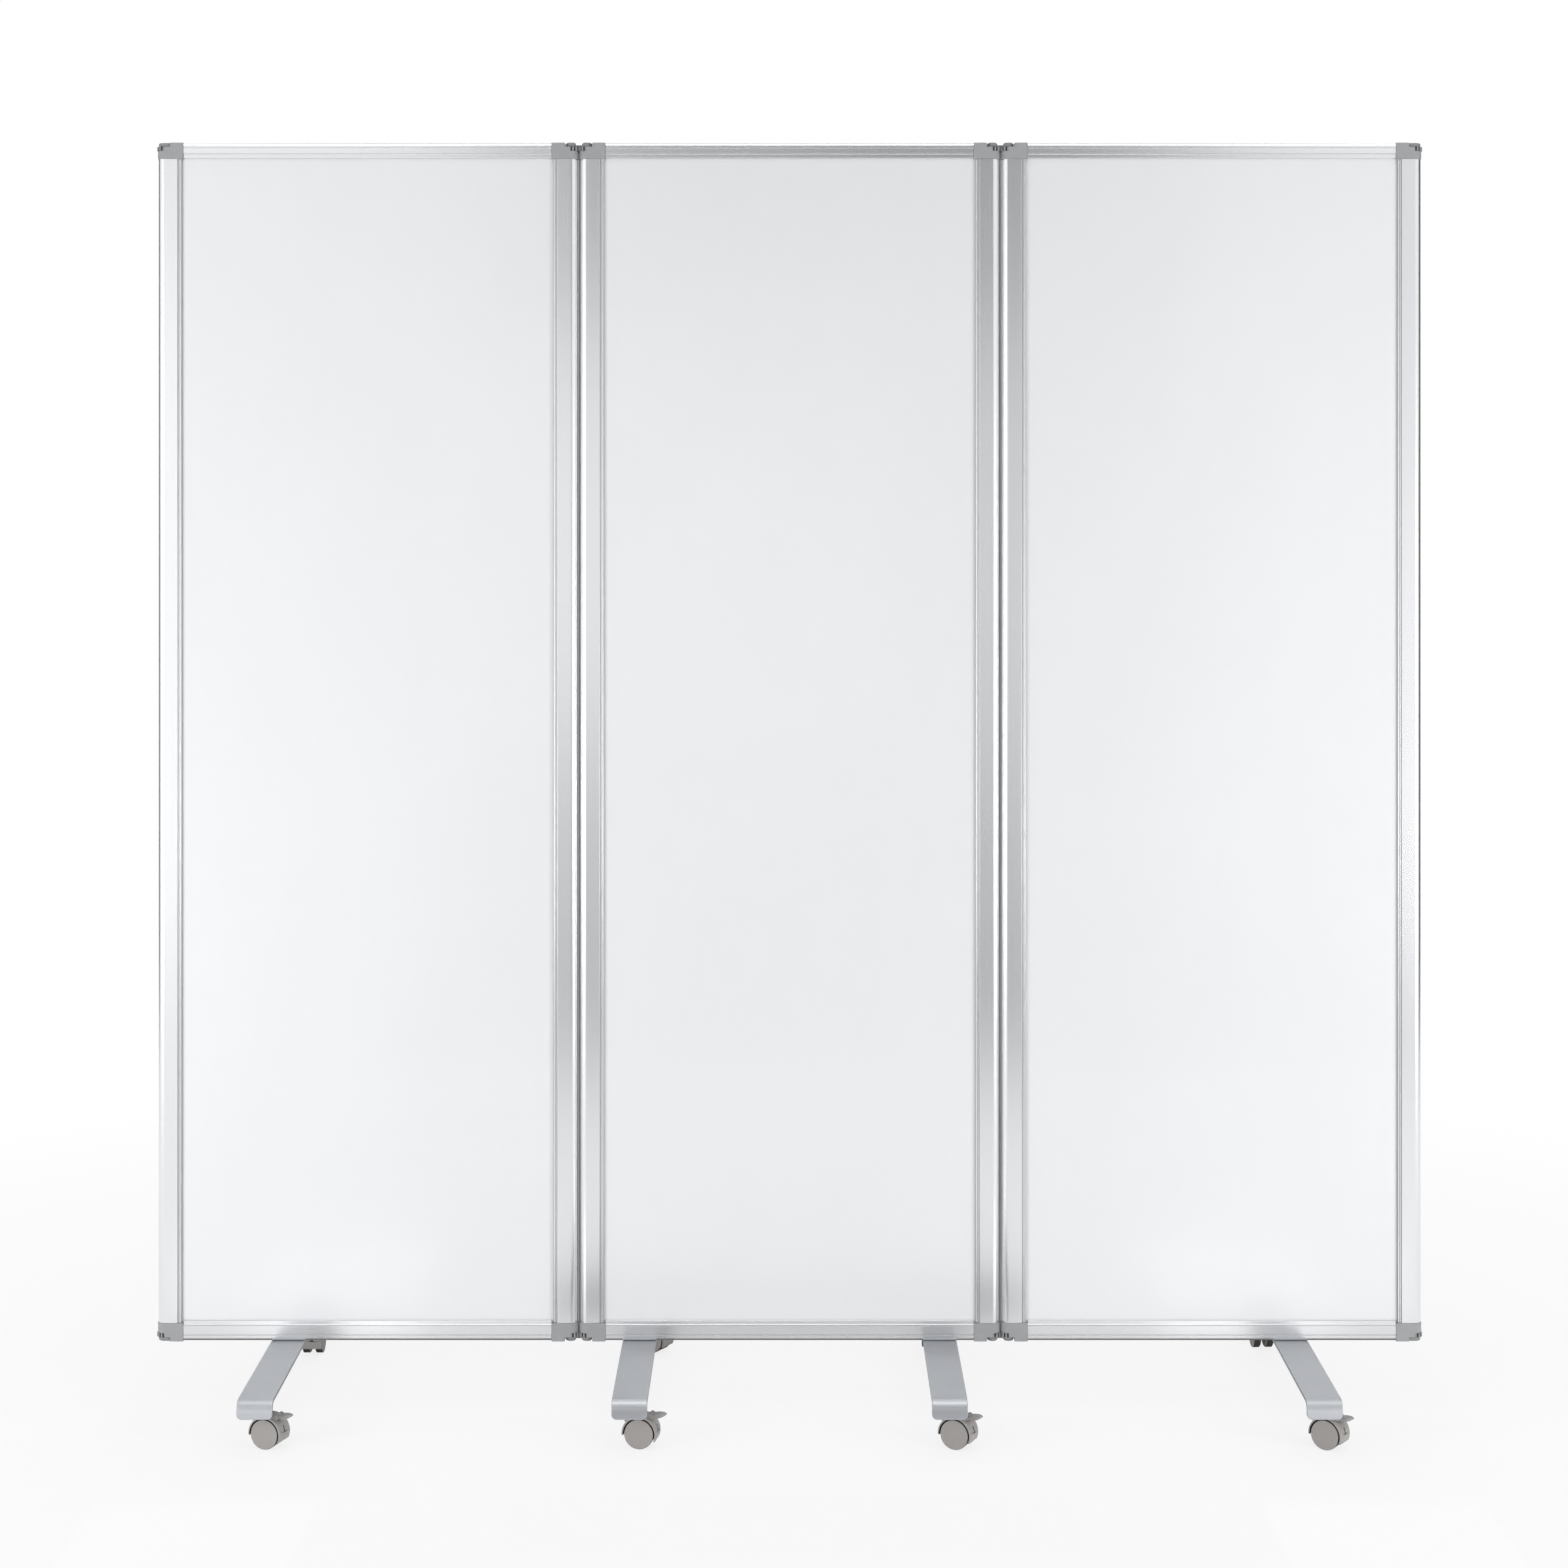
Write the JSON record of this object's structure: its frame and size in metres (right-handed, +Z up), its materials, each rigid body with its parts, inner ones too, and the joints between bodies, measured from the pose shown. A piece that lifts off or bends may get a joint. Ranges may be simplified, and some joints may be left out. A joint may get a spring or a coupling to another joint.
{
  "type": "folding privacy screen on wheels",
  "caption": "Freestanding folding privacy screen: framed white board panels joined edge to edge by geared hinges, on bent bar feet with swivel casters.",
  "frame": {"origin": "on the floor under the middle of the screen", "axes": "+X along the row of panels, -Y the front, +Z up"},
  "size_m": [1.8106, 0.516, 1.7919],
  "materials": {
    "board": "glossy white enamelled writing sheet",
    "aluminium": "satin anodised extrusion with fine lengthwise lines",
    "cap": "mid grey moulded plastic",
    "foot": "silver grey paint",
    "caster": "warm grey moulded nylon",
    "wheel": "warm grey moulded wheel with a smooth disc",
    "steel": "zinc plated"
  },
  "bodies": {
    "middle_panel": {"middle_board": "board", "middle_top_rail": "aluminium", "middle_bottom_rail": "aluminium", "middle_left_stile": "aluminium", "middle_right_stile": "aluminium", "middle_top_left_cap": "cap", "middle_top_right_cap": "cap", "middle_bottom_left_cap": "cap", "middle_bottom_right_cap": "cap", "middle_left_foot": "foot", "middle_left_foot_bolt": "steel", "middle_right_foot": "foot", "middle_right_foot_bolt": "steel"},
    "left_links": {"left_joint_top_link": "cap", "left_joint_bottom_link": "cap"},
    "left_panel": {"left_board": "board", "left_top_rail": "aluminium", "left_bottom_rail": "aluminium", "left_left_stile": "aluminium", "left_right_stile": "aluminium", "left_top_left_cap": "cap", "left_top_right_cap": "cap", "left_bottom_left_cap": "cap", "left_bottom_right_cap": "cap", "left_foot": "foot", "left_foot_bolt": "steel"},
    "right_links": {"right_joint_top_link": "cap", "right_joint_bottom_link": "cap"},
    "right_panel": {"right_board": "board", "right_top_rail": "aluminium", "right_bottom_rail": "aluminium", "right_left_stile": "aluminium", "right_right_stile": "aluminium", "right_top_left_cap": "cap", "right_top_right_cap": "cap", "right_bottom_left_cap": "cap", "right_bottom_right_cap": "cap", "right_foot": "foot", "right_foot_bolt": "steel"},
    "left_foot_front_caster_swivelling": {"left_foot_front_caster_housing": "caster"},
    "left_foot_front_caster_rolling": {"left_foot_front_caster_wheels": "wheel"},
    "left_foot_front_caster_braking": {"left_foot_front_caster_pedal": "caster"},
    "left_foot_rear_caster_swivelling": {"left_foot_rear_caster_housing": "caster"},
    "left_foot_rear_caster_rolling": {"left_foot_rear_caster_wheels": "wheel"},
    "middle_left_foot_front_caster_swivelling": {"middle_left_foot_front_caster_housing": "caster"},
    "middle_left_foot_front_caster_rolling": {"middle_left_foot_front_caster_wheels": "wheel"},
    "middle_left_foot_front_caster_braking": {"middle_left_foot_front_caster_pedal": "caster"},
    "middle_left_foot_rear_caster_swivelling": {"middle_left_foot_rear_caster_housing": "caster"},
    "middle_left_foot_rear_caster_rolling": {"middle_left_foot_rear_caster_wheels": "wheel"},
    "middle_right_foot_front_caster_swivelling": {"middle_right_foot_front_caster_housing": "caster"},
    "middle_right_foot_front_caster_rolling": {"middle_right_foot_front_caster_wheels": "wheel"},
    "middle_right_foot_front_caster_braking": {"middle_right_foot_front_caster_pedal": "caster"},
    "middle_right_foot_rear_caster_swivelling": {"middle_right_foot_rear_caster_housing": "caster"},
    "middle_right_foot_rear_caster_rolling": {"middle_right_foot_rear_caster_wheels": "wheel"},
    "right_foot_front_caster_swivelling": {"right_foot_front_caster_housing": "caster"},
    "right_foot_front_caster_rolling": {"right_foot_front_caster_wheels": "wheel"},
    "right_foot_front_caster_braking": {"right_foot_front_caster_pedal": "caster"},
    "right_foot_rear_caster_swivelling": {"right_foot_rear_caster_housing": "caster"},
    "right_foot_rear_caster_rolling": {"right_foot_rear_caster_wheels": "wheel"}
  },
  "joints": [
    {"name": "left_link_fold", "type": "hinge", "parent": "middle_panel", "child": "left_links", "pos_m": [-0.29, 0, 0.935], "axis": [0, 0, 1], "range_deg": [-60, 60]},
    {"name": "left_panel_fold", "type": "hinge", "parent": "left_links", "child": "left_panel", "pos_m": [-0.313, 0, 0.935], "axis": [0, 0, 1], "range_deg": [-60, 60]},
    {"name": "right_link_fold", "type": "hinge", "parent": "middle_panel", "child": "right_links", "pos_m": [0.29, 0, 0.935], "axis": [0, 0, 1], "range_deg": [-60, 60]},
    {"name": "right_panel_fold", "type": "hinge", "parent": "right_links", "child": "right_panel", "pos_m": [0.313, 0, 0.935], "axis": [0, 0, 1], "range_deg": [-60, 60]},
    {"name": "left_foot_front_caster_swivel", "type": "hinge", "parent": "left_panel", "child": "left_foot_front_caster_swivelling", "pos_m": [-0.716, -0.218, 0.055], "axis": [0, 0, 1], "continuous": true},
    {"name": "left_foot_front_caster_roll", "type": "hinge", "parent": "left_foot_front_caster_swivelling", "child": "left_foot_front_caster_rolling", "pos_m": [-0.70269, -0.22233, 0.02], "axis": [0.309, 0.9511, 0], "continuous": true},
    {"name": "left_foot_front_caster_brake", "type": "hinge", "parent": "left_foot_front_caster_swivelling", "child": "left_foot_front_caster_braking", "pos_m": [-0.68902, -0.22677, 0.04238], "axis": [0.309, 0.9511, 0], "range_deg": [0, 15]},
    {"name": "left_foot_rear_caster_swivel", "type": "hinge", "parent": "left_panel", "child": "left_foot_rear_caster_swivelling", "pos_m": [-0.716, 0.218, 0.055], "axis": [0, 0, 1], "continuous": true},
    {"name": "left_foot_rear_caster_roll", "type": "hinge", "parent": "left_foot_rear_caster_swivelling", "child": "left_foot_rear_caster_rolling", "pos_m": [-0.716, 0.204, 0.02], "axis": [1, 0, 0], "continuous": true},
    {"name": "middle_left_foot_front_caster_swivel", "type": "hinge", "parent": "middle_panel", "child": "middle_left_foot_front_caster_swivelling", "pos_m": [-0.2145, -0.218, 0.055], "axis": [0, 0, 1], "continuous": true},
    {"name": "middle_left_foot_front_caster_roll", "type": "hinge", "parent": "middle_left_foot_front_caster_swivelling", "child": "middle_left_foot_front_caster_rolling", "pos_m": [-0.20071, -0.22043, 0.02], "axis": [0.1736, 0.9848, 0], "continuous": true},
    {"name": "middle_left_foot_front_caster_brake", "type": "hinge", "parent": "middle_left_foot_front_caster_swivelling", "child": "middle_left_foot_front_caster_braking", "pos_m": [-0.18656, -0.22293, 0.04238], "axis": [0.1736, 0.9848, 0], "range_deg": [0, 15]},
    {"name": "middle_left_foot_rear_caster_swivel", "type": "hinge", "parent": "middle_panel", "child": "middle_left_foot_rear_caster_swivelling", "pos_m": [-0.2145, 0.218, 0.055], "axis": [0, 0, 1], "continuous": true},
    {"name": "middle_left_foot_rear_caster_roll", "type": "hinge", "parent": "middle_left_foot_rear_caster_swivelling", "child": "middle_left_foot_rear_caster_rolling", "pos_m": [-0.20238, 0.211, 0.02], "axis": [0.5, 0.866, 0], "continuous": true},
    {"name": "middle_right_foot_front_caster_swivel", "type": "hinge", "parent": "middle_panel", "child": "middle_right_foot_front_caster_swivelling", "pos_m": [0.2145, -0.218, 0.055], "axis": [0, 0, 1], "continuous": true},
    {"name": "middle_right_foot_front_caster_roll", "type": "hinge", "parent": "middle_right_foot_front_caster_swivelling", "child": "middle_right_foot_front_caster_rolling", "pos_m": [0.22719, -0.22392, 0.02], "axis": [0.4226, 0.9063, 0], "continuous": true},
    {"name": "middle_right_foot_front_caster_brake", "type": "hinge", "parent": "middle_right_foot_front_caster_swivelling", "child": "middle_right_foot_front_caster_braking", "pos_m": [0.24021, -0.22999, 0.04238], "axis": [0.4226, 0.9063, 0], "range_deg": [0, 15]},
    {"name": "middle_right_foot_rear_caster_swivel", "type": "hinge", "parent": "middle_panel", "child": "middle_right_foot_rear_caster_swivelling", "pos_m": [0.2145, 0.218, 0.055], "axis": [0, 0, 1], "continuous": true},
    {"name": "middle_right_foot_rear_caster_roll", "type": "hinge", "parent": "middle_right_foot_rear_caster_swivelling", "child": "middle_right_foot_rear_caster_rolling", "pos_m": [0.21596, 0.23192, 0.02], "axis": [-0.9945, 0.1045, 0], "continuous": true},
    {"name": "right_foot_front_caster_swivel", "type": "hinge", "parent": "right_panel", "child": "right_foot_front_caster_swivelling", "pos_m": [0.716, -0.218, 0.055], "axis": [0, 0, 1], "continuous": true},
    {"name": "right_foot_front_caster_roll", "type": "hinge", "parent": "right_foot_front_caster_swivelling", "child": "right_foot_front_caster_rolling", "pos_m": [0.72747, -0.22603, 0.02], "axis": [0.5736, 0.8192, 0], "continuous": true},
    {"name": "right_foot_front_caster_brake", "type": "hinge", "parent": "right_foot_front_caster_swivelling", "child": "right_foot_front_caster_braking", "pos_m": [0.73924, -0.23427, 0.04238], "axis": [0.5736, 0.8192, 0], "range_deg": [0, 15]},
    {"name": "right_foot_rear_caster_swivel", "type": "hinge", "parent": "right_panel", "child": "right_foot_rear_caster_swivelling", "pos_m": [0.716, 0.218, 0.055], "axis": [0, 0, 1], "continuous": true},
    {"name": "right_foot_rear_caster_roll", "type": "hinge", "parent": "right_foot_rear_caster_swivelling", "child": "right_foot_rear_caster_rolling", "pos_m": [0.71502, 0.23197, 0.02], "axis": [-0.9976, -0.0698, 0], "continuous": true}
  ],
  "couplings": [
    {"joint": "left_link_fold", "follows": "left_panel_fold", "ratio": 1},
    {"joint": "right_link_fold", "follows": "right_panel_fold", "ratio": 1}
  ]
}
